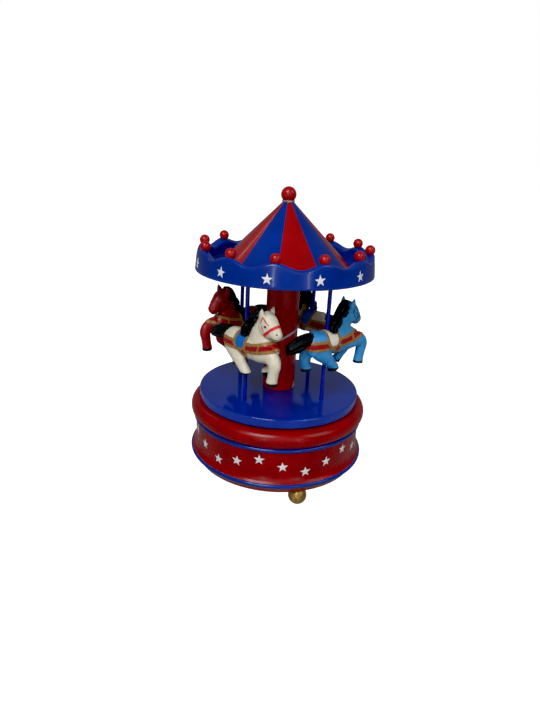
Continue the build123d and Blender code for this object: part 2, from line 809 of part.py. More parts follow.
def make_all():
    os.makedirs("parts", exist_ok=True)
    save("base_shell", base_shell())
    save("lower_bead", bead(lower_bead_radius, lower_bead_height))
    save("upper_bead", bead(upper_bead_radius, upper_bead_height))
    save("base_cover", base_cover())
    save("cover_screws", *[cover_screw(a, wood_screw) for a in cover_screw_azimuths])
    for name, azimuth in foot_azimuths.items():
        save(name, foot(azimuth))
    save("foot_screws", *[foot_screw(a) for a in foot_azimuths.values()])
    save("thrust_washer", thrust_washer())
    save("platform", platform())
    save("platform_flange", platform_flange())
    save("flange_screws", *[flange_screw(i, wood_screw) for i in range(flange_screws)])
    save("column", column())
    save("column_band", column_band())
    save("canopy_ring", canopy_ring())
    save("edge_balls", *[edge_ball(a) for a in edge_ball_axes()])
    save("canopy_board", canopy_board())
    save("roof_screw", roof_screw(wood_screw))
    save("roof_cone", roof_cone())
    save("finial_ball", finial())
    shape = horse()
    for azimuth, (name, pose) in zip(pole_axes(), horses.items()):
        save(f"pole_{name}", rod(pole_radius, polar(pole_circle, azimuth, platform_top - pole_depth),
                                 polar(pole_circle, azimuth, canopy_floor + pole_depth)))
        save(f"horse_{name}", place_horse(shape, azimuth, pose["turn"], pose["raise"]))
    save_movement()


def save_movement():
    centre = (0, axis_height)
    save("bedplate", bedplate())
    save("bedplate_screws", *[bedplate_screw(place, wood_screw) for place in bedplate_screws])
    save("spring_housing", spring_housing())
    save("mainspring", mainspring())
    save("winding_arbor", winding_arbor())
    save("great_wheel", great_wheel())
    save("pinned_cylinder", pinned_cylinder())
    save("cylinder_arbor", rod(cylinder_arbor_radius, (0, cylinder_arbor_span[0], axis_height),
                               (0, cylinder_arbor_span[1], axis_height)))
    pinion = gear(pinion_teeth, pinion_radius, pinion_span, 90 + 180 / pinion_teeth, centre)
    save("cylinder_pinion", on_arbor(pinion, cylinder_arbor_radius, centre))
    wheel = gear(wheel_teeth, wheel_radius, wheel_span, 180, centre)
    save("cylinder_wheel", on_arbor(wheel, cylinder_arbor_radius, centre))
    save("comb", comb())
    save("comb_screws", *[comb_screw(x, y) for x, y in comb_screw_places()])
    side = (governor_x, axis_height)
    save("governor_frame", governor_frame())
    save("governor_arbor", governor_arbor())
    pinion = gear(governor_pinion_teeth, train_module * governor_pinion_teeth / 2, wheel_span,
                  180 / governor_pinion_teeth, side)
    save("governor_pinion", on_arbor(pinion, governor_arbor_radius, side))
    wheel = gear(governor_teeth, governor_radius, governor_span, 180, side)
    save("governor_wheel", on_arbor(wheel, governor_arbor_radius, side))
    save("governor_worm", governor_worm())


make_all()
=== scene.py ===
import math

import bpy
import numpy as np
from mathutils import Matrix, Vector, noise
from mathutils.bvhtree import BVHTree


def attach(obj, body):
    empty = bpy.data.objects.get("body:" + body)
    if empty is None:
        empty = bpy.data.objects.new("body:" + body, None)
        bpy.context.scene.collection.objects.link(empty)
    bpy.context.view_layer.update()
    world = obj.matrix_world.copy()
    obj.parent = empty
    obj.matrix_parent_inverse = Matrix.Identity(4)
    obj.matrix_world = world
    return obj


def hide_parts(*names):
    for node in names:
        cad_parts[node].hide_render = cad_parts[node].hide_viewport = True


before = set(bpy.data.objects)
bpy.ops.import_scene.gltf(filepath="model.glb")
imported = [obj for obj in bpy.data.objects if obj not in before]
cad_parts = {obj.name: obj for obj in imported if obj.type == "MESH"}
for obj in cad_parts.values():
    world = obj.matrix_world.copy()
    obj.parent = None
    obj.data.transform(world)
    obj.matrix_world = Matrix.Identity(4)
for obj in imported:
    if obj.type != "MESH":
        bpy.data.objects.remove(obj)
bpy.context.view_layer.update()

# Painted wooden carousel music box. Shapes are in millimetres and are scaled to metres last.
mm = 0.001
print("frame loaded:", len(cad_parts), "parts")


def linearColour(hexColour):
    channels = [int(hexColour[i:i + 2], 16) / 255 for i in (1, 3, 5)]
    return [c / 12.92 if c <= 0.04045 else ((c + 0.055) / 1.055) ** 2.4 for c in channels] + [1.0]


def perMetre(sizeMm):
    return 1 / (sizeMm * mm)  # texture scale that gives features of this size


def polar(radius, azimuth, height):
    angle = math.radians(azimuth)
    return Vector((radius * math.cos(angle), radius * math.sin(angle), height))


def addNode(tree, kind, settings=None, links=None):
    node = tree.nodes.new(kind)
    for key, value in (settings or {}).items():
        if isinstance(key, int) or key in node.inputs:
            node.inputs[key].default_value = value
        else:
            setattr(node, key, value)
    for key, source in (links or {}).items():
        tree.links.new(source, node.inputs[key])
    return node


def startMaterial(name, roughness, metallic=0.0, coat=0.0, specular=0.5):
    material = bpy.data.materials.new(name)
    material.use_nodes = True
    tree = material.node_tree
    shader = tree.nodes["Principled BSDF"]
    shader.inputs["Roughness"].default_value = roughness
    shader.inputs["IOR"].default_value = 1.5  # paint, varnish and plastics alike
    shader.inputs["Metallic"].default_value = metallic
    shader.inputs["Coat Weight"].default_value = coat
    shader.inputs["Coat Roughness"].default_value = 0.06
    shader.inputs["Specular IOR Level"].default_value = specular
    coords = addNode(tree, "ShaderNodeTexCoord").outputs["Object"]
    return material, tree, shader, coords


def mixColour(tree, factor, first, second):
    links, settings = {0: factor}, {"data_type": "RGBA"}
    for key, colour in ((6, first), (7, second)):
        if isinstance(colour, str):
            settings[key] = linearColour(colour)
        else:
            links[key] = colour
    return addNode(tree, "ShaderNodeMix", settings, links).outputs[2]


def noiseTexture(tree, coords, sizeMm, detail):
    settings = {"Scale": perMetre(sizeMm), "Detail": detail}
    return addNode(tree, "ShaderNodeTexNoise", settings, {"Vector": coords}).outputs["Fac"]


def noiseFactor(tree, coords, sizeMm, detail=2.0, low=0.35, high=0.65, top=1.0):
    cloud = noiseTexture(tree, coords, sizeMm, detail)
    spread = addNode(tree, "ShaderNodeMapRange", {"From Min": low, "From Max": high, "To Max": top},
                     {"Value": cloud})
    return spread.outputs["Result"]


def finishMaterial(tree, shader, colour, height, depthMm, roughness=None):
    tree.links.new(colour, shader.inputs["Base Color"])
    bump = addNode(tree, "ShaderNodeBump", {"Distance": depthMm * mm}, {"Height": height})
    tree.links.new(bump.outputs["Normal"], shader.inputs["Normal"])
    if roughness is not None:
        tree.links.new(roughness, shader.inputs["Roughness"])


def ringCoords(tree, coords):
    # distance from the turning axis and height, so that marks run round the piece
    split = addNode(tree, "ShaderNodeSeparateXYZ", None, {"Vector": coords})
    flat = addNode(tree, "ShaderNodeCombineXYZ", None, {"X": split.outputs["X"], "Y": split.outputs["Y"]})
    radius = addNode(tree, "ShaderNodeVectorMath", {"operation": "LENGTH"}, {0: flat.outputs["Vector"]})
    return addNode(tree, "ShaderNodeCombineXYZ", None,
                   {"X": radius.outputs["Value"], "Z": split.outputs["Z"]}).outputs["Vector"]


def edgeMask(tree, coords, radiusMm, chipMm):
    # 1 on sharp edges where the paint has rubbed thin, broken up by a fine noise
    softNormal = addNode(tree, "ShaderNodeBevel", {"samples": 4, "Radius": radiusMm * mm})
    trueNormal = addNode(tree, "ShaderNodeNewGeometry")
    match = addNode(tree, "ShaderNodeVectorMath", {"operation": "DOT_PRODUCT"},
                    {0: softNormal.outputs["Normal"], 1: trueNormal.outputs["Normal"]})
    edge = addNode(tree, "ShaderNodeMapRange", {"From Min": 0.985, "From Max": 0.86},
                   {"Value": match.outputs["Value"]})
    chips = noiseFactor(tree, coords, chipMm, 3, 0.5, 0.66)
    return addNode(tree, "ShaderNodeMath", {"operation": "MULTIPLY"},
                   {0: edge.outputs["Result"], 1: chips}).outputs["Value"]


def gridFaces(rows, sides):
    # quads between rings of points that follow one another
    return [(low + i, low + (i + 1) % sides, low + sides + (i + 1) % sides, low + sides + i)
            for low in range(0, (rows - 1) * sides, sides) for i in range(sides)]


def meshObject(name, points, faces, materials, body, stands=()):
    mesh = bpy.data.meshes.new(name)
    mesh.from_pydata([tuple(p) for p in points], [], faces)
    mesh.transform(Matrix.Scale(mm, 4))
    return placeMesh(name, mesh, materials, body, stands)


def placeMesh(name, mesh, materials, body, stands=()):
    mesh.validate()
    mesh.polygons.foreach_set("use_smooth", [True] * len(mesh.polygons))
    for material in materials:
        mesh.materials.append(material)
    piece = bpy.data.objects.new(name, mesh)
    bpy.context.scene.collection.objects.link(piece)
    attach(piece, body)
    if stands:
        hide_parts(*stands)
    return piece


def enamelOnBeech(name, look):
    # gloss enamel sprayed on turned beech: deep even colour under a wet-looking skin, a slight
    # orange peel, faint lathe rings telegraphing through and pale rubbed spots on the edges
    material, tree, shader, coords = startMaterial(name, look["roughness"], 0, look["coat"], look["specular"])
    tone = noiseFactor(tree, coords, look["toneMm"], 2)
    colour = mixColour(tree, tone, look["deep"], look["bright"])
    speck = noiseFactor(tree, coords, look["speckMm"], 1, 0.72, 0.78, 0.5)
    colour = mixColour(tree, speck, colour, look["dust"])
    for place, sizeMm in look["chips"]:
        # bare wood where the paint has chipped off
        away = addNode(tree, "ShaderNodeVectorMath", {"operation": "DISTANCE", 1: place * mm}, {0: coords})
        ragged = addNode(tree, "ShaderNodeMath", {"operation": "MULTIPLY_ADD", 1: -1.4 * sizeMm * mm},
                         {0: noiseFactor(tree, coords, 0.9, 3), 2: away.outputs["Value"]})
        bare = addNode(tree, "ShaderNodeMath", {"operation": "LESS_THAN", 1: 0.5 * sizeMm * mm},
                       {0: ragged.outputs["Value"]})
        colour = mixColour(tree, bare.outputs["Value"], colour, "#c9bdb2")
    if look["wear"]:
        colour = mixColour(tree, edgeMask(tree, coords, 0.5, look["chipMm"]), colour, look["wear"])
    height = peel = noiseTexture(tree, coords, look["peelMm"], 1)
    if look["ringMm"]:
        rings = noiseTexture(tree, ringCoords(tree, coords), look["ringMm"], 2)
        height = addNode(tree, "ShaderNodeMath", {"operation": "MULTIPLY_ADD", 1: 0.4},
                         {0: rings, 2: peel}).outputs["Value"]
    gloss = noiseFactor(tree, coords, 9.0, 3)
    spread = {"To Min": look["roughness"], "To Max": look["roughness"] + 0.1}
    rough = addNode(tree, "ShaderNodeMapRange", spread, {"Value": gloss})
    finishMaterial(tree, shader, colour, height, look["depthMm"], rough.outputs["Result"])
    return material


enamel = {"roughness": 0.16, "coat": 0.2, "specular": 0.3, "toneMm": 16.0, "speckMm": 0.7, "peelMm": 1.3,
          "ringMm": 1.1, "depthMm": 0.005, "wear": None, "chipMm": 1.6, "chips": ()}
redLook = {**enamel, "wear": "#a8625c", "deep": "#8b050a", "bright": "#9d0b10", "dust": "#b4302c"}
blueLook = {**enamel, "wear": "#3f5fc0", "deep": "#02287f", "bright": "#052f8c", "dust": "#2f4ca8"}
redEnamel = enamelOnBeech("redEnamelOnTurnedBeech", redLook)
# the same red enamel painted lighter: painted light standing in for the light the column misses in the
# canopy's shade; the chipped spots are real
columnEnamelPaintedLight = enamelOnBeech("redEnamelOnColumnPaintedLight", {
    **redLook, "deep": "#a3060b", "bright": "#b30c11", "coat": 0.1,
    "chips": ((polar(9.6, -14, 57.2), 1.9), (polar(9.6, -168, 117.0), 1.5))})  # at the column's foot and head
baseEnamel = enamelOnBeech("redEnamelOnBase", {
    **redLook, "deep": "#7d0409", "bright": "#8e090e", "roughness": 0.2, "coat": 0.05, "specular": 0.22,
    "depthMm": 0.008})
blueEnamel = enamelOnBeech("blueEnamelOnTurnedBeech", blueLook)
ballEnamel = enamelOnBeech("redEnamelOnBeads", {
    **redLook, "deep": "#940a0e", "bright": "#a61216", "ringMm": 0, "wear": None, "peelMm": 0.9,
    "roughness": 0.22, "coat": 0.1})
platformEnamel = enamelOnBeech("blueEnamelPolishedDisc", {
    **blueLook, "deep": "#022a90", "bright": "#05319c", "roughness": 0.08, "coat": 0.5, "depthMm": 0.003,
    "chipMm": 2.4})
poleEnamel = enamelOnBeech("blueEnamelOnDowel", {
    **blueLook, "deep": "#051c8e", "bright": "#07239c", "ringMm": 0, "wear": None, "toneMm": 6.0})


def screenPrint(name):
    # thick white screen-printing ink: flat, slightly dusty white with a few pin holes
    material, tree, shader, coords = startMaterial(name, 0.45)
    colour = mixColour(tree, noiseFactor(tree, coords, 1.4, 3), "#e9e8ea", "#d3d3d8")
    finishMaterial(tree, shader, colour, noiseTexture(tree, coords, 0.35, 2), 0.02)
    return material


def goldOnBeech(name):
    # gold acrylic brushed on a turned ball: bronze glints, brown where it lies thin
    material, tree, shader, coords = startMaterial(name, 0.38, 0.55)
    colour = mixColour(tree, noiseFactor(tree, coords, 2.2, 4), "#8a6a34", "#b8954f")
    colour = mixColour(tree, noiseFactor(tree, coords, 5.0, 3, 0.55, 0.75, 0.8), colour, "#5a3f20")
    finishMaterial(tree, shader, colour, noiseTexture(tree, coords, 0.6, 3), 0.04)
    return material


def sandedBirch(name):
    # sanded birch ply: pale cream brown, long straight grain along X with darker pores
    material, tree, shader, coords = startMaterial(name, 0.62)
    grainMap = addNode(tree, "ShaderNodeMapping", {"Scale": (0.12, 1, 1)}, {"Vector": coords})
    grain = noiseFactor(tree, grainMap.outputs["Vector"], 1.6, 5, 0.3, 0.7)
    colour = mixColour(tree, grain, "#d8b98c", "#b98e5c")
    finishMaterial(tree, shader, colour, grain, 0.05)
    return material


def metalPart(name, look):
    # bare or plated metal part: fine directional scratches and slight tarnish in patches
    material, tree, shader, coords = startMaterial(name, look["roughness"], 1.0)
    colour = mixColour(tree, noiseFactor(tree, coords, look["patchMm"], 3), look["clean"], look["dull"])
    stretch = addNode(tree, "ShaderNodeMapping", {"Scale": look["lay"]}, {"Vector": coords})
    scratch = noiseTexture(tree, stretch.outputs["Vector"], look["scratchMm"], 3)
    finishMaterial(tree, shader, colour, scratch, 0.01)
    return material


metal = {"roughness": 0.3, "patchMm": 4.0, "scratchMm": 0.4, "lay": (0.1, 1, 1)}
zincSteel = metalPart("zincPlatedSteel", {**metal, "clean": "#c9cbd0", "dull": "#a2a6ad"})
castPlate = metalPart("nickelPlatedCasting", {
    **metal, "clean": "#c4c3bd", "dull": "#9d9b93", "roughness": 0.42})
springSteel = metalPart("groundSpringSteel", {
    **metal, "clean": "#a9adb5", "dull": "#7f858f", "roughness": 0.24})
brass = metalPart("machinedBrass", {**metal, "clean": "#d8b464", "dull": "#a9853f"})


def mouldedNylon(name):
    # injection-moulded nylon: milky, soft sheen, faint flow clouds
    material, tree, shader, coords = startMaterial(name, 0.45)
    colour = mixColour(tree, noiseFactor(tree, coords, 3.0), "#e6e3d8", "#cfcbbd")
    finishMaterial(tree, shader, colour, noiseFactor(tree, coords, 0.5, 2), 0.01)
    return material


def coveredElastic(name):
    # flat braided elastic, grey-lilac: matt, with a braid of about 0.5 mm
    material, tree, shader, coords = startMaterial(name, 0.7)
    braid = addNode(tree, "ShaderNodeTexVoronoi", {"Scale": perMetre(0.55)}, {"Vector": coords})
    colour = mixColour(tree, braid.outputs["Distance"], "#dcd8e2", "#bcb7c4")
    finishMaterial(tree, shader, colour, braid.outputs["Distance"], 0.08)
    return material


def woodGlue(name):
    # dried white glue: greyish, translucent-looking, slightly glossy
    material, tree, shader, coords = startMaterial(name, 0.35)
    cloud = noiseFactor(tree, coords, 0.8, 3)
    finishMaterial(tree, shader, mixColour(tree, cloud, "#a79c98", "#7f6f70"), cloud, 0.05)
    return material


driedGlue = woodGlue("driedWoodGlue")
whiteInk = screenPrint("whiteScreenPrintInk")
goldPaint = goldOnBeech("goldAcrylicOnTurnedBall")
birch = sandedBirch("sandedBirchPly")
nylon = mouldedNylon("mouldedNylon")
elastic = coveredElastic("braidedElastic")

nodeFinish = {
    baseEnamel: ["base_shell"],
    columnEnamelPaintedLight: ["column"],
    blueEnamel: ["lower_bead", "upper_bead", "canopy_board"],
    platformEnamel: ["platform"],
    ballEnamel: ["edge_balls", "finial_ball"],
    poleEnamel: ["pole_white", "pole_blue", "pole_cream", "pole_red"],
    goldPaint: ["foot_front", "foot_right", "foot_left"],
    birch: ["base_cover"],
    zincSteel: ["cover_screws", "foot_screws", "bedplate_screws", "flange_screws", "roof_screw",
                "comb_screws"],
    castPlate: ["bedplate", "spring_housing"],
    springSteel: ["mainspring", "comb", "winding_arbor", "cylinder_arbor", "governor_arbor", "governor_worm"],
    brass: ["governor_frame", "platform_flange", "great_wheel", "pinned_cylinder", "cylinder_pinion",
            "cylinder_wheel", "governor_pinion"],
    nylon: ["thrust_washer", "governor_wheel"],
    elastic: ["column_band"],
}
for finish, names in nodeFinish.items():
    for name in names:
        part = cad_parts[name]
        part.data.materials.clear()
        part.data.materials.append(finish)
        part.data.polygons.foreach_set("material_index", [0] * len(part.data.polygons))
print("materials on carried-over parts:", sum(len(n) for n in nodeFinish.values()))


# canopy ring, turned with a waved and softly rounded top edge
ring = {"floor": 129.7, "outer": 52.8, "topOuter": 51.4, "inner": 46.5, "peak": 13.3, "valley": 10.1,
        "waves": 12, "firstPeak": 24.3, "innerFall": 0.9, "round": 1.5, "foot": 0.5, "segments": 432,
        "arc": 7}


def ringTop(azimuth):
    middle, swing = (ring["peak"] + ring["valley"]) / 2, (ring["peak"] - ring["valley"]) / 2
    return middle + swing * math.cos(ring["waves"] * math.radians(azimuth - ring["firstPeak"]))


def ringProfile(azimuth):
    # (radius, height) round the wall's section, from the inner foot over the top to the outer foot
    top, soft = ringTop(azimuth), ring["round"]
    innerTop = top - ring["innerFall"]
    lean = (ring["outer"] - ring["topOuter"]) / ring["peak"]
    outerAt = lambda z: ring["outer"] - lean * z
    profile = [(ring["inner"], z) for z in np.linspace(0.0, innerTop - soft, 7)]
    for k in range(1, ring["arc"] + 1):
        a = math.radians(90 * k / ring["arc"])
        profile.append((ring["inner"] + soft * (1 - math.cos(a)), innerTop - soft * (1 - math.sin(a))))
    for k in range(ring["arc"] + 1):
        a = math.radians(90 * k / ring["arc"])
        z = top - soft * (1 - math.cos(a))
        profile.append((outerAt(z) - soft * (1 - math.sin(a)), z))
    profile += [(outerAt(z), z) for z in np.linspace(top - soft, ring["foot"], 9)[1:]]
    profile += [(ring["outer"] - ring["foot"] * 0.3, ring["foot"] * 0.3), (ring["outer"] - ring["foot"], 0.0)]
    return profile


def buildCanopyRing():
    points = []
    for i in range(ring["segments"]):
        azimuth = 360 * i / ring["segments"]
        points += [polar(r, azimuth, ring["floor"] + z) for r, z in ringProfile(azimuth)]
    sides = len(ringProfile(0))
    count = ring["segments"]
    faces = [(i * sides + j, (i + 1) % count * sides + j, (i + 1) % count * sides + (j + 1) % sides,
              i * sides + (j + 1) % sides) for i in range(count) for j in range(sides)]
    return meshObject("canopyRing", points, faces, [blueEnamel], "carousel", ["canopy_ring"])


canopyRing = buildCanopyRing()
print("canopy ring turned")


# roof cone with ten painted stripes
cone = {"seat": 133.5, "base": 38.7, "top": 1.9, "height": 36.7, "stripes": 10, "firstEdge": -24.0,
        "edgeRound": 0.7, "rings": 26, "segments": 720, "ridgeMm": 0.07}


def buildRoofCone():
    points, rings = [], []
    drop = cone["base"] - cone["top"]
    rings.append((cone["base"] - cone["edgeRound"], 0.0))
    rings.append((cone["base"] - 0.3 * cone["edgeRound"], 0.25 * cone["edgeRound"]))
    rings.append((cone["base"] - 0.25 * cone["edgeRound"], cone["edgeRound"]))
    for k in range(1, cone["rings"] + 1):
        t = k / cone["rings"]
        rings.append((cone["base"] - drop * t, cone["height"] * t))
    sides, width = cone["segments"], 360 / cone["stripes"]
    for radius, height in rings:
        for i in range(sides):
            azimuth = 360 * i / sides
            across = abs((azimuth - cone["firstEdge"]) % width - width / 2)
            nearEdge = max(0.0, 1 - (width / 2 - across) * math.radians(radius) / 0.5)
            lift = cone["ridgeMm"] * nearEdge  # paint builds up along the masked line
            points.append(polar(radius + lift, azimuth, cone["seat"] + height))
    faces = gridFaces(len(rings), sides)
    faces.append(tuple(reversed(range(sides))))
    faces.append(tuple(range((len(rings) - 1) * sides, len(rings) * sides)))
    piece = meshObject("roofCone", points, faces, [redEnamel, blueEnamel], "carousel",
                       ["roof_cone"])
    for polygon in piece.data.polygons[:-2]:
        azimuth = math.degrees(math.atan2(polygon.center.y, polygon.center.x))
        stripe = int(((azimuth - cone["firstEdge"]) % 360) // width)
        polygon.material_index = stripe % 2
    piece.data.polygons[-1].material_index = 0
    return piece


def buildGlueRing():
    # squeezed-out wood glue round the foot of the finial ball
    points, sides, around = [], glueRing["sides"], glueRing["around"]
    for i in range(around):
        azimuth = 360 * i / around
        turn = math.radians(azimuth)
        thick = glueRing["thick"] * (1 + 0.25 * math.sin(3.0 * turn) + 0.12 * math.sin(7.0 * turn))
        for k in range(sides):
            a = 2 * math.pi * k / sides
            radius, level = glueRing["radius"] + thick * math.cos(a), glueRing["level"] + thick * math.sin(a)
            points.append(polar(radius, azimuth, level))
    faces = [(i * sides + k, (i + 1) % around * sides + k, (i + 1) % around * sides + (k + 1) % sides,
              i * sides + (k + 1) % sides) for i in range(around) for k in range(sides)]
    meshObject("glueRing", points, faces, [driedGlue], "carousel")


glueRing = {"radius": 3.05, "thick": 0.6, "level": 169.2, "sides": 12, "around": 72}
buildRoofCone()
buildGlueRing()
print("roof cone painted")


# printed stars on the base and the canopy ring
baseStars = {"count": 24, "first": -99.6, "middle": 26.9, "swing": 3.8, "waves": 6, "size": 6.7}
ringStars = {"count": 12, "first": -99.5, "middle": 134.8, "swing": 0.0, "waves": 0, "size": 6.3}
starShape = {"waist": 0.40, "steps": 4, "layers": 5, "ink": 0.05, "bury": 0.12, "reach": 70.0}


def surfaceTree(piece):
    mesh = piece.data
    return BVHTree.FromPolygons([v.co / mm for v in mesh.vertices], [p.vertices[:] for p in mesh.polygons])


def starOutline(size):
    corners = [polar(size / 2 * (1 if k % 2 == 0 else starShape["waist"]), 90 + 36 * k, 0) for k in range(10)]
    steps = starShape["steps"]
    return [corners[k].lerp(corners[(k + 1) % 10], i / steps) for k in range(10) for i in range(steps)]


def stickPatch(tree, outline, azimuth, height, points, faces):
    # lays a flat outline on a turned surface as a thin closed skin
    layers, sides = starShape["layers"], len(outline)
    start = len(points)
    flat = [p * (layer / layers) for layer in range(1, layers + 1) for p in outline]
    radiusHere = None
    for level in (starShape["ink"], -starShape["bury"]):
        for p in [Vector((0, 0, 0))] + flat:
            if radiusHere is None:
                hit = tree.ray_cast(polar(starShape["reach"], azimuth, height), -polar(1, azimuth, 0))
                radiusHere = hit[0].to_2d().length
            turn = azimuth + math.degrees(p.x / radiusHere)
            hit = tree.ray_cast(polar(starShape["reach"], turn, height + p.y), -polar(1, turn, 0))
            points.append(hit[0] + hit[1] * level)
    size = 1 + layers * sides
    for side in (0, 1):
        base = start + side * size
        patch = [(base, base + 1 + i, base + 1 + (i + 1) % sides) for i in range(sides)]
        for k in range(layers - 1):
            low, high = base + 1 + k * sides, base + 1 + (k + 1) * sides
            patch += [(low + i, high + i, high + (i + 1) % sides, low + (i + 1) % sides)
                      for i in range(sides)]
        faces += patch if side == 0 else [tuple(reversed(f)) for f in patch]
    rim, under = start + 1 + (layers - 1) * sides, start + size + 1 + (layers - 1) * sides
    faces += [(rim + i, under + i, under + (i + 1) % sides, rim + (i + 1) % sides) for i in range(sides)]


def printStars(name, look, target, body):
    tree, points, faces = surfaceTree(target), [], []
    for k in range(look["count"]):
        azimuth = look["first"] + 360 * k / look["count"]
        wave = math.cos(look["waves"] * math.radians(azimuth - look["first"]))
        height = look["middle"] + look["swing"] * wave
        tilt = Matrix.Rotation(math.radians(5 * math.sin(7.3 * k)), 4, "Z")  # each is printed a little askew
        outline = [tilt @ p for p in starOutline(look["size"])]
        stickPatch(tree, outline, azimuth, height, points, faces)
    return meshObject(name, points, faces, [whiteInk], body)


printStars("baseStars", baseStars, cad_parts["base_shell"], "base")
printStars("canopyStars", ringStars, canopyRing, "carousel")
print("stars printed")


# cast resin horses: one casting, four paint schemes
casting = {
    # (forward, left, up, half depth, half width), walked along each limb
    "trunk": [(-15.6, 0, 17.0, 3.0, 2.8), (-13.4, 0, 16.9, 6.0, 5.2), (-8.5, 0, 16.6, 7.6, 6.3),
              (-2, 0, 16.0, 7.2, 6.3), (5, 0, 15.8, 7.3, 6.2), (11, 0, 16.2, 8.0, 6.3),
              (16, 0, 16.8, 7.7, 6.1), (20, 0, 17.2, 6.0, 5.0), (22.6, 0, 17.6, 3.2, 2.8)],
    "neck": [(11.8, 0, 16.0, 8.0, 5.6), (11.4, 0, 21.6, 7.4, 4.9), (12.0, 0, 26.2, 6.5, 4.4),
             (13.4, 0, 30.4, 5.7, 4.0), (14.8, 0, 33.6, 4.9, 4.0), (15.6, 0, 35.6, 3.6, 3.6)],
    "head": [(14.2, 0, 34.6, 3.6, 4.0), (16.6, 0, 33.6, 5.0, 4.9), (19.0, 0, 31.4, 5.0, 4.6),
             (21.0, 0, 29.4, 4.4, 3.9), (22.6, 0, 27.9, 4.1, 3.5), (23.6, 0, 26.9, 3.6, 3.2)],
    "jawRight": [(15.6, -2.2, 30.8, 3.2, 2.6), (17.8, -2.3, 29.0, 3.4, 2.6), (20.0, -1.5, 27.0, 2.4, 2.0)],
    "jawLeft": [(15.6, 2.2, 30.8, 3.2, 2.6), (17.8, 2.3, 29.0, 3.4, 2.6), (20.0, 1.5, 27.0, 2.4, 2.0)],
    "earRight": [(15.4, -3.1, 35.2, 2.4, 1.8), (15.8, -3.9, 37.9, 1.8, 1.3), (16.2, -4.4, 40.4, 0.6, 0.5)],
    "earLeft": [(15.4, 3.1, 35.2, 2.4, 1.8), (15.8, 3.9, 37.9, 1.8, 1.3), (16.2, 4.4, 40.4, 0.6, 0.5)],
    "foreRight": [(13.5, -3.0, 14.8, 5.4, 3.7), (20.6, -3.6, 15.4, 4.8, 3.5), (25.2, -3.8, 14.2, 4.2, 3.3),
                  (27.0, -3.8, 11.2, 3.5, 3.2), (26.4, -3.8, 7.6, 3.1, 3.0), (25.8, -3.8, 4.0, 3.0, 2.9),
                  (25.4, -3.8, 1.6, 3.2, 3.0), (25.2, -3.8, -0.4, 3.4, 3.1)],
    "foreLeft": [(14.0, 3.0, 14.4, 5.4, 3.6), (18.4, 3.5, 11.8, 4.2, 3.2), (20.2, 3.7, 8.6, 3.5, 2.9),
                 (17.8, 3.7, 5.8, 2.8, 2.6), (15.6, 3.7, 3.8, 2.7, 2.6), (13.8, 3.7, 2.2, 2.9, 2.7),
                 (12.8, 3.7, 1.2, 3.0, 2.8)],
    "hindRight": [(-9.0, -2.7, 15.0, 6.6, 3.8), (-5.6, -3.3, 11.2, 5.6, 3.5), (-2.2, -3.6, 7.8, 4.2, 3.1),
                  (0.6, -3.7, 4.8, 3.4, 2.9), (2.6, -3.7, 2.7, 3.2, 2.8), (3.8, -3.7, 1.0, 3.5, 3.0),
                  (4.2, -3.7, -0.3, 3.8, 3.1)],
    "hindLeft": [(-9.6, 2.7, 14.6, 6.6, 3.8), (-11.6, 3.3, 10.8, 5.1, 3.5), (-12.8, 3.6, 7.4, 3.8, 3.1),
                 (-12.4, 3.7, 4.5, 3.2, 2.9), (-11.6, 3.7, 2.4, 3.1, 2.8), (-11.2, 3.7, 0.9, 3.3, 2.9),
                 (-11.0, 3.7, -0.3, 3.5, 3.0)],
}
flatSoles = ("foreRight", "hindRight", "hindLeft", "foreLeft")
sculpt = {"voxel": 0.42, "sides": 22, "steps": 5, "smooth": 3, "strapLift": 0.3, "saddleLift": 0.5}


def smoothPath(sections, steps):
    # Catmull-Rom through the sections
    rows = [np.array(s, float) for s in sections]
    rows = [2 * rows[0] - rows[1]] + rows + [2 * rows[-1] - rows[-2]]
    out = []
    for a, b, c, d in zip(rows, rows[1:], rows[2:], rows[3:]):
        for k in range(steps):
            t = k / steps
            bend, twist = 2 * a - 5 * b + 4 * c - d, 3 * b - a - 3 * c + d
            out.append(0.5 * (2 * b + (c - a) * t + bend * t * t + twist * t ** 3))
    out.append(rows[-2])
    return np.array(out)


def addLimb(points, faces, sections, sides, steps, flatEnd=False, ridges=None):
    rows = smoothPath(sections, steps)
    centres, depths, widths = rows[:, :3], np.maximum(rows[:, 3], 0.15), np.maximum(rows[:, 4], 0.15)
    tangents = np.gradient(centres, axis=0)
    tangents /= np.linalg.norm(tangents, axis=1)[:, None]
    rings = []
    for end, way in ((0, -1), (len(rows) - 1, 1)):
        if way == 1:
            rings += [(centres[i], tangents[i], depths[i], widths[i], i) for i in range(len(rows))]
        dome = [(0.05, 1.0), (0.35, 0.93), (0.62, 0.78), (0.84, 0.5), (0.96, 0.2)]
        if flatEnd and way == 1:
            dome = [(0.02, 0.9), (0.03, 0.5)]
        caps = []
        for along, share in dome:
            shift = way * along * min(depths[end], widths[end])
            caps.append((centres[end] + tangents[end] * shift, tangents[end], depths[end] * share,
                         widths[end] * share, end))
        rings += caps if way == 1 else caps[::-1]
    start = len(points)
    for centre, tangent, depth, width, index in rings:
        side = np.array([0.0, 1.0, 0.0])
        side = side - tangent * side.dot(tangent)
        side /= np.linalg.norm(side)
        up = np.cross(tangent, side)
        for k in range(sides):
            a = 2 * math.pi * k / sides
            swell = 1.0
            if ridges:
                swell += ridges["depth"] * math.cos(ridges["count"] * a + ridges["twist"] * index)
            points.append(tuple(centre + swell * (math.cos(a) * depth * up + math.sin(a) * width * side)))
    count = len(rings)
    faces += [tuple(start + v for v in f) for f in gridFaces(count, sides)]
    faces.append(tuple(start + k for k in reversed(range(sides))))
    faces.append(tuple(start + (count - 1) * sides + k for k in range(sides)))


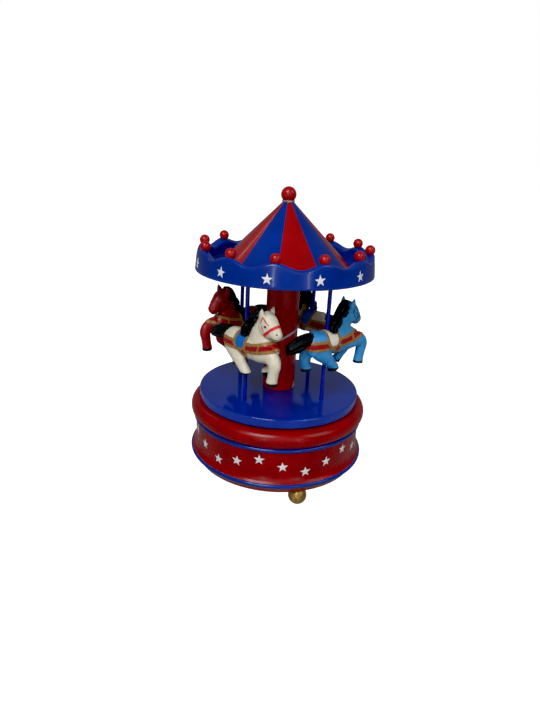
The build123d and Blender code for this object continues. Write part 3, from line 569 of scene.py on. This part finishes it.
def fuseAndSmooth(name, points, faces, voxel, smooth):
    mesh = bpy.data.meshes.new(name)
    mesh.from_pydata(points, [], faces)
    holder = bpy.data.objects.new(name, mesh)
    bpy.context.scene.collection.objects.link(holder)
    remesh = holder.modifiers.new("fuse", "REMESH")
    remesh.mode = "VOXEL"
    remesh.voxel_size = voxel
    relax = holder.modifiers.new("relax", "SMOOTH")
    relax.factor, relax.iterations = 0.5, smooth
    graph = bpy.context.evaluated_depsgraph_get()
    fused = bpy.data.meshes.new_from_object(holder.evaluated_get(graph))
    bpy.data.objects.remove(holder)
    return fused


def vertexArray(mesh):
    flat = np.empty(len(mesh.vertices) * 3, np.float32)
    mesh.vertices.foreach_get("co", flat)
    return flat.reshape(-1, 3).astype(float)


def normalArray(mesh):
    flat = np.empty(len(mesh.vertices) * 3, np.float32)
    mesh.vertices.foreach_get("normal", flat)
    return flat.reshape(-1, 3).astype(float)


def lineDistance(places, path):
    # shortest distance from each place to a polyline
    best = np.full(len(places), 1e9)
    for a, b in zip(path, path[1:]):
        a, b = np.array(a, float), np.array(b, float)
        t = np.clip((places - a) @ (b - a) / max((b - a) @ (b - a), 1e-9), 0, 1)
        best = np.minimum(best, np.linalg.norm(places - (a + t[:, None] * (b - a)), axis=1))
    return best


harness = {"band": [(-17, 16.6), (-12, 16.6), (-4, 16.4), (4, 16.4), (10, 16.8), (15, 18.0), (20, 19.6),
                    (25, 21.0)],
           "bandHalf": 3.0, "redHalf": 1.35, "dividers": (16.0,), "dividerHalf": 0.6,
           "saddleTop": 24.0, "saddleLow": 14.8, "saddleMid": 0.8, "saddleHalf": 4.1, "rim": 1.8,
           "drop": [(3.0, 14.6), (5.4, 8.2)], "dropHalf": 3.3, "diamond": (4.0, 13.3), "diamondHalf": 2.0}
bridle = {"half": 0.42,
          "cheekRight": [(16.8, -5, 35.6), (16.0, -5, 33.0), (17.4, -4.8, 29.8), (19.4, -3.8, 27.6)],
          "cheekLeft": [(16.8, 5, 35.6), (16.0, 5, 33.0), (17.4, 4.8, 29.8), (19.4, 3.8, 27.6)],
          "brow": (18.4, 35.0), "nosePlane": (0.66, -0.75), "noseCentre": (21.2, 29.2),
          "eye": [(19.2, -4.5, 31.6), (19.2, 4.5, 31.6)], "eyeHalf": 0.75,
          "nostril": [(25.8, -2.0, 28.2), (25.8, 2.0, 28.2)], "nostrilHalf": 0.5,
          "mouth": [(25.2, -2.6, 24.6), (22.0, -2.7, 25.6)], "mouthHalf": 0.32}


far = 9.0  # mm, well outside every painted area


def paintMaps(places):
    # signed distances in mm from each painted outline: below zero is inside the paint
    x, y, z = places.T
    body = (z > 6.0) & (np.abs(y) < 9)
    flat = np.stack([x, z], axis=1)
    band = lineDistance(flat, harness["band"])
    band = np.where(z < harness["saddleTop"], band, far)
    t = (z - harness["saddleLow"]) / (harness["saddleTop"] - harness["saddleLow"])
    half = harness["saddleHalf"] * np.clip(1 - (1 - np.clip(2.2 * t, 0, 1)) ** 2, 0, 1) ** 0.5
    saddle = np.maximum(np.abs(x - harness["saddleMid"]) - half, harness["saddleLow"] - z)
    saddle = np.where(z > 10, saddle, far)
    drop = lineDistance(flat, harness["drop"]) - harness["dropHalf"] * np.clip((z - 6.0) / 7.0, 0.35, 1.0)
    drop = np.where(body, drop, far)
    rim = np.abs(saddle - 0.3) - harness["rim"] / 2
    dividers = np.minimum.reduce([np.abs(x - d) - harness["dividerHalf"] for d in harness["dividers"]])
    outside = -(saddle + 0.3)
    strap, drip = np.maximum(band - harness["bandHalf"], outside), np.maximum(drop, outside)
    gold = np.minimum.reduce([strap, rim, drip])
    red = np.maximum(band - harness["redHalf"], -np.minimum(dividers, saddle - 1.6))
    red = np.maximum(red, -drop)
    gem = np.abs(x - harness["diamond"][0]) + np.abs(z - harness["diamond"][1]) - harness["diamondHalf"]
    red = np.minimum(red, np.maximum(gem, -7.0))
    legs = (z < 10.5) & ((x > 16.5) | (x < -7.5))
    gold, red = np.where(legs, far, gold), np.where(legs, far, red)
    straps = np.minimum(lineDistance(places, bridle["cheekRight"]), lineDistance(places, bridle["cheekLeft"]))
    (noseX, noseZ), (wayX, wayZ) = bridle["noseCentre"], bridle["nosePlane"]
    along = (x - noseX) * wayX + (z - noseZ) * wayZ
    noseband = np.where((x > 17) & (z > 22), np.abs(along), far)
    slant = z - bridle["brow"][1] + 0.9 * (x - bridle["brow"][0])
    brow = np.where((z > 32.5) & (x > 16.6), np.abs(slant), far)
    lines = np.minimum(straps, brow) - bridle["half"]
    eye, nostril = (np.minimum.reduce([np.linalg.norm(places - np.array(e), axis=1) for e in bridle[kind]])
                    for kind in ("eye", "nostril"))
    mouth = lineDistance(places * np.array([1, 0, 1]), [(a, 0, c) for a, b, c in bridle["mouth"]])
    marks = np.minimum(nostril - bridle["nostrilHalf"], mouth - bridle["mouthHalf"])
    hoof = np.where(x > 9, np.where(x > 19, z - 1.3, z - 1.9 - 0.35 * (x - 12.5)), z - 1.2)
    return {"saddle": saddle, "gold": gold, "red": red, "lines": lines,
            "noseband": noseband - 1.9 * bridle["half"], "eye": eye - bridle["eyeHalf"], "marks": marks,
            "hoof": hoof}


def cavityMap(mesh, places, normals):
    # how hollow the surface is at each vertex, for the painted shade that darkens the folds
    pairs = np.empty(len(mesh.edges) * 2, np.int32)
    mesh.edges.foreach_get("vertices", pairs)
    a, b = pairs.reshape(-1, 2).T
    total, count = np.zeros_like(places), np.zeros(len(places))
    for one, two in ((a, b), (b, a)):
        np.add.at(total, one, places[two])
        np.add.at(count, one, 1)
    offset = total / np.maximum(count, 1)[:, None] - places
    hollow = np.einsum("ij,ij->i", offset, normals)
    for one in range(2):
        blur, seen = np.zeros(len(places)), np.zeros(len(places))
        for p, q in ((a, b), (b, a)):
            np.add.at(blur, p, hollow[q])
            np.add.at(seen, p, 1)
        hollow = 0.5 * hollow + 0.5 * blur / np.maximum(seen, 1)
    return hollow


def storeMap(mesh, name, values):
    attribute = mesh.attributes.new(name, "FLOAT", "POINT")
    attribute.data.foreach_set("value", values.astype(np.float32))


def castHorse():
    points, faces = [], []
    for name, sections in casting.items():
        addLimb(points, faces, sections, sculpt["sides"], sculpt["steps"], name in flatSoles)
    mesh = fuseAndSmooth("horseCasting", points, faces, sculpt["voxel"], sculpt["smooth"])
    places, normals = vertexArray(mesh), normalArray(mesh)
    maps = paintMaps(places)
    softStep = lambda d: np.clip(0.5 - d / 0.5, 0, 1)
    lift = np.maximum(softStep(maps["gold"]) * sculpt["strapLift"],
                      softStep(maps["saddle"] + 0.6) * sculpt["saddleLift"])
    lift += 0.3 * softStep(maps["eye"]) + 0.18 * softStep(maps["noseband"])
    lift -= 0.3 * softStep(maps["marks"])
    lift += np.array([0.10 * noise.noise(Vector(p) * 0.35) for p in places])  # hand-finished unevenness
    places += normals * lift[:, None]
    mesh.vertices.foreach_set("co", places.astype(np.float32).ravel())
    mesh.update()
    hollow = cavityMap(mesh, places, normalArray(mesh))
    for name, values in maps.items():
        storeMap(mesh, name, values)
    storeMap(mesh, "hollow", hollow)
    return mesh


hair = {"voxel": 0.36, "smooth": 1, "sides": 40, "steps": 6}
crest = [(15.0, 0, 37.6, 1.6, 1.9), (13.4, -0.2, 38.0, 1.8, 2.0), (10.8, -0.5, 36.8, 2.2, 2.4),
         (8.6, -0.8, 33.8, 2.4, 2.6), (7.0, -0.9, 30.4, 2.4, 2.6), (5.8, -0.7, 27.2, 2.0, 2.2),
         (5.2, -0.3, 24.8, 1.1, 1.3)]
ringlets = {"places": [(12.6, 36.6), (10.8, 35.4), (9.2, 33.0), (7.6, 30.8), (6.4, 28.6), (5.6, 26.8)],
            "thick": 2.1, "fall": 3.0}
locks = {"places": [(13.8, 37.0), (11.8, 36.2), (10.0, 33.8), (8.4, 31.0), (7.2, 28.2)], "thick": 1.2}


def addHair(points, faces, sections, count, depth, twist):
    # a lock with carved strands that wind round it
    strands = {"count": count, "depth": depth, "twist": twist}
    addLimb(points, faces, sections, hair["sides"], hair["steps"], False, strands)


def castMane():
    points, faces = [], []
    addHair(points, faces, crest, 9, 0.09, 0.12)
    for k, (x, z) in enumerate(ringlets["places"]):
        # fat curls hang from the crest down the right of the neck
        sway, thick = 0.8 * math.sin(2.4 * k), ringlets["thick"] + 0.3 * math.sin(1.7 * k + 1)
        fall = ringlets["fall"] * (1 + 0.2 * math.sin(2.9 * k))
        curl = [(x - 0.4, -0.8, z + 0.4, thick, thick),
                (x - 1.3 + sway * 0.4, -2.2, z - 0.3, thick * 1.2, thick * 1.1),
                (x - 2.3 - sway * 0.4, -3.0, z - 0.4 * fall, thick * 0.8, thick * 0.9),
                (x - 3.0 + sway, -3.4, z - 0.7 * fall, thick * 1.2, thick * 1.1),
                (x - 3.3 - sway * 0.4, -3.2, z - fall - 0.8, thick * 0.9, thick * 0.8),
                (x - 3.2, -3.0, z - fall - 1.8, 0.6, 0.6)]
        addHair(points, faces, curl, 4, 0.24, 0.42)
    for k, (x, z) in enumerate(locks["places"]):
        # short flat locks lie on the left of the neck
        sway, thick = 0.5 * math.sin(3.1 * k + 1), locks["thick"]
        lock = [(x, 0.8, z, thick * 1.2, thick), (x + 0.3 + sway, 2.9, z - 1.4, thick * 1.2, thick),
                (x + 0.4 - sway, 4.0, z - 3.8, thick * 0.9, thick * 0.7), (x, 4.2, z - 5.4, 0.35, 0.4)]
        addHair(points, faces, lock, 4, 0.14, 0.15)
    return fuseAndSmooth("maneCasting", points, faces, hair["voxel"], hair["smooth"])


def castTail():
    points, faces = [], []
    core = [(-10.5, 0, 19.0, 3.4, 3.0), (-13.5, 0, 19.8, 3.9, 3.4), (-17.5, 0, 19.6, 3.9, 3.6),
            (-21.5, 0, 18.8, 3.5, 3.4), (-25.0, 0, 17.8, 3.4, 3.3), (-27.6, 0, 17.0, 3.0, 2.8)]
    addLimb(points, faces, core, 48, 8, False, {"count": 9, "depth": 0.07, "twist": 0.09})
    for k in range(5):
        lean = math.radians(72 * k)
        side, up = 2.3 * math.cos(lean), 2.8 * math.sin(lean)
        lock = [(-13.0, 0.7 * side, 19.6 + 0.7 * up, 2.0, 1.9),
                (-18.0, 0.8 * side, 19.4 + 0.7 * up, 2.2, 2.0),
                (-23.0, side, 17.9 + 0.8 * up, 2.2, 1.9), (-28.8, 0.6 * side, 16.0 + 0.6 * up, 1.2, 1.1)]
        addHair(points, faces, lock, 5, 0.13, 0.16)
    return fuseAndSmooth("tailCasting", points, faces, hair["voxel"], hair["smooth"])


def paintedResin(name, look):
    # hand-painted cast resin: satin body paint with brush variation and a brown painted shade darkening the
    # folds, then saddle cloth, gold and red harness, bridle lines, eyes and black hooves on top
    material, tree, shader, coords = startMaterial(name, 0.38, 0, 0.1, 0.35)

    def mapMask(mapName, soft=0.12, shift=0.0):
        source = addNode(tree, "ShaderNodeAttribute", {"attribute_name": mapName}).outputs["Fac"]
        wobble = addNode(tree, "ShaderNodeMath", {"operation": "MULTIPLY_ADD", 1: 0.5},
                         {0: noiseFactor(tree, coords, 2.4, 2, 0.2, 0.8), 2: source}).outputs["Value"]
        edge = {"From Min": soft + 0.25 + shift, "From Max": -soft + 0.25 + shift,
                "interpolation_type": "SMOOTHSTEP"}
        return addNode(tree, "ShaderNodeMapRange", edge, {"Value": wobble}).outputs["Result"]

    colour = mixColour(tree, noiseFactor(tree, coords, 3.2, 3), look["body"], look["bodyShade"])
    # painted shade: the body colour darkens towards a brown tint where the surface is hollow
    hollow = addNode(tree, "ShaderNodeAttribute", {"attribute_name": "hollow"}).outputs["Fac"]
    paintedShade = addNode(tree, "ShaderNodeMapRange", {"From Min": 0.006, "From Max": 0.05, "To Max": look["paintedShade"]},
                   {"Value": hollow}).outputs["Result"]
    colour = mixColour(tree, paintedShade, colour, look["paintedShadeColour"])
    colour = mixColour(tree, mapMask("saddle", 0.12, -0.1), colour, look["saddle"])
    goldTone = mixColour(tree, noiseFactor(tree, coords, 0.9, 3), "#a07d49", "#7f6032")
    gold = mapMask("gold")
    colour = mixColour(tree, gold, colour, goldTone)
    colour = mixColour(tree, mapMask("red"), colour, look["strap"])
    for mapName, key in (("lines", "bridle"), ("noseband", "noseband"), ("marks", "marks"), ("eye", "eye"),
                         ("hoof", "hoof")):
        if look[key]:
            colour = mixColour(tree, mapMask(mapName, 0.1), colour, look[key])
    brush = noiseTexture(tree, coords, 0.7, 3)
    rough = addNode(tree, "ShaderNodeMapRange", {"To Min": 0.32, "To Max": 0.46},
                    {"Value": noiseFactor(tree, coords, 2.0, 2)}).outputs["Result"]
    finishMaterial(tree, shader, colour, brush, 0.03, rough)
    return material


def paintedHair(name):
    # black acrylic on sculpted resin hair: soft sheen on the ridges, faint blue-grey dry brushing
    material, tree, shader, coords = startMaterial(name, 0.34, 0, 0, 0.22)
    pulled = addNode(tree, "ShaderNodeMapping", {"Scale": (0.5, 1, 0.35)}, {"Vector": coords})
    strand = noiseFactor(tree, pulled.outputs["Vector"], 0.55, 3, 0.35, 0.7)
    colour = mixColour(tree, strand, "#040506", "#0e1216")
    finishMaterial(tree, shader, colour, strand, 0.2)
    return material


# painted shade in the folds: its strength is given here, its brown tint with each horse
paint = {"strap": "#8f0d14", "hoof": "#0a0a0c", "eye": "#15100e", "marks": "#1b1210", "paintedShade": 0.55}
horses = {
    "white": {"azimuth": -126.94, "turn": 6.0, "raise": 0.0, "slot": "white_resin", "paint": {
        **paint, "body": "#dbd5c2", "bodyShade": "#cfc7b0", "paintedShadeColour": "#8b7a5c", "saddle": "#0f63ae",
        "bridle": "#c23a44", "noseband": "#cf1b2a"}},
    "blue": {"azimuth": -36.94, "turn": 12.0, "raise": 1.3, "slot": "light_blue_resin", "paint": {
        **paint, "body": "#3f97d2", "bodyShade": "#2f86c4", "paintedShadeColour": "#164a78", "saddle": "#ddd9cf",
        "bridle": "#0d1218", "noseband": "#0d1218"}},
    # the cream horse's own cream body and blue saddle, both painted lighter as painted light against the
    # shade it stands in behind the column
    "cream": {"azimuth": 53.06, "turn": 6.0, "raise": 0.0, "slot": "cream_resin", "paint": {
        **paint, "body": "#dccfb4", "bodyShade": "#cfc0a1", "paintedShadeColour": "#8a7250", "saddle": "#2560b4",
        "bridle": "#7a1a18", "noseband": "#7a1a18"}},
    "red": {"azimuth": 143.06, "turn": 7.0, "raise": 0.4, "slot": "dark_red_resin", "paint": {
        **paint, "body": "#9e1119", "bodyShade": "#8a0c14", "paintedShadeColour": "#3b0508", "saddle": "#10131a",
        "bridle": None, "noseband": None}},
}
stand = {"circle": 32.9, "level": 75.5}
hairPaint = paintedHair("blackAcrylicOnResin")
castings = {"horse": castHorse(), "mane": castMane(), "tail": castTail()}
for kind, mesh in castings.items():
    print(kind, "casting:", len(mesh.polygons), "faces")


def placeHorse(name, look):
    spot = polar(stand["circle"], look["azimuth"], stand["level"] + look["raise"]) * mm
    heading = math.radians(look["azimuth"] + 90 - look["turn"])
    place = Matrix.Translation(spot) @ Matrix.Rotation(heading, 4, "Z") @ Matrix.Scale(mm, 4)
    label = name.capitalize()
    bodyPaint = paintedResin("handPaintedResin" + label, look["paint"])
    for kind, finish in (("horse", bodyPaint), ("mane", hairPaint), ("tail", hairPaint)):
        mesh = castings[kind].copy()
        mesh.transform(place)
        stands = ["horse_" + name] if kind == "horse" else []
        placeMesh(kind + label, mesh, [finish], "carousel", stands)


for name, look in horses.items():
    placeHorse(name, look)
print("horses painted and mounted")


def paleFloor():
    # smooth white table top: the lens sees it near white, while the piece gets a softer bounce from it
    material, tree, shader, coords = startMaterial("matWhiteTable", table["roughness"])
    shader.inputs["Specular IOR Level"].default_value = 0.2
    colour = mixColour(tree, noiseFactor(tree, coords, 60.0, 2), "#a6a6a6", "#acacac")
    finishMaterial(tree, shader, colour, noiseFactor(tree, coords, 2.0, 2), 0.01)
    shader.inputs["Emission Color"].default_value = linearColour("#ffffff")
    seen = addNode(tree, "ShaderNodeLightPath").outputs["Is Camera Ray"]
    glow = addNode(tree, "ShaderNodeMath", {"operation": "MULTIPLY", 1: table["glow"]}, {0: seen})
    tree.links.new(glow.outputs["Value"], shader.inputs["Emission Strength"])
    half = table["half"]
    mesh = bpy.data.meshes.new("floor")
    corners = [(-half, -half, 0), (half, -half, 0), (half, half, 0), (-half, half, 0)]
    mesh.from_pydata(corners, [], [(0, 1, 2, 3)])
    mesh.materials.append(material)
    floor = bpy.data.objects.new("floor", mesh)
    bpy.context.scene.collection.objects.link(floor)


def softBox(name, place, target, size, power, colour=(1, 1, 1)):
    lamp = bpy.data.lights.new(name, "AREA")
    lamp.shape, lamp.size, lamp.size_y = "RECTANGLE", size[0], size[1]
    lamp.energy, lamp.color = power, colour
    holder = bpy.data.objects.new(name, lamp)
    holder.location = place
    holder.rotation_euler = (Vector(target) - Vector(place)).to_track_quat("-Z", "Y").to_euler()
    bpy.context.scene.collection.objects.link(holder)


table = {"roughness": 0.8, "glow": 1.1, "half": 4.0}
paleFloor()
lights = {
    "key": {"place": (-0.35, -0.85, 1.05), "size": (0.6, 0.5), "power": 10.6},
    "fill": {"place": (0.9, -0.5, 0.9), "size": (0.6, 0.6), "power": 3.0},
    "backLeft": {"place": (-0.8, 0.62, 0.95), "size": (0.03, 0.3), "power": 0.14},
    "front": {"place": (0.05, -1.3, 0.65), "size": (1.6, 0.8), "power": 2.6},
    "stripLeft": {"place": (-0.25, -1.1, 0.25), "size": (0.05, 0.5), "power": 0.6},
    "stripRight": {"place": (0.55, -1.0, 0.25), "size": (0.05, 0.5), "power": 0.6},
}
middleOfBox = (0, 0, 0.09)
for name, light in lights.items():
    softBox(name, light["place"], middleOfBox, light["size"], light["power"])

sky = {"seen": 1.0, "given": 0.2}
world = bpy.data.worlds.new("studio")
world.use_nodes = True
bpy.context.scene.world = world
backdrop = world.node_tree.nodes["Background"]
raySort = addNode(world.node_tree, "ShaderNodeLightPath")
level = addNode(world.node_tree, "ShaderNodeMapRange", {"To Min": sky["given"], "To Max": sky["seen"]},
                {"Value": raySort.outputs["Is Camera Ray"]})
backdrop.inputs["Color"].default_value = (1, 1, 1, 1)
world.node_tree.links.new(level.outputs["Result"], backdrop.inputs["Strength"])

view = {"place": (0, -0.31933, 0.19303), "yaw": -0.019379, "pitch": 0.361364, "roll": 0.047420, "lens": 27.05}


def aimCamera():
    level = math.cos(view["pitch"])
    ahead = Vector((math.sin(view["yaw"]) * level, math.cos(view["yaw"]) * level, -math.sin(view["pitch"])))
    right = Vector((math.cos(view["yaw"]), -math.sin(view["yaw"]), 0))
    up = right.cross(ahead)
    rightRolled = right * math.cos(view["roll"]) + up * math.sin(view["roll"])
    upRolled = up * math.cos(view["roll"]) - right * math.sin(view["roll"])
    camera = bpy.data.cameras.new("camera")
    camera.lens, camera.sensor_width = view["lens"], 36.0
    camera.clip_start = 0.01
    holder = bpy.data.objects.new("camera", camera)
    turn = Matrix((rightRolled, upRolled, -ahead)).transposed().to_4x4()
    holder.matrix_world = Matrix.Translation(view["place"]) @ turn
    bpy.context.scene.collection.objects.link(holder)
    bpy.context.scene.camera = holder


aimCamera()
grading = bpy.context.scene.view_settings
grading.view_transform = "Standard"
grading.use_curve_mapping = True
grading.curve_mapping.black_level = (0.009, 0.009, 0.009)  # deeper blacks
grading.curve_mapping.update()
print("studio set")
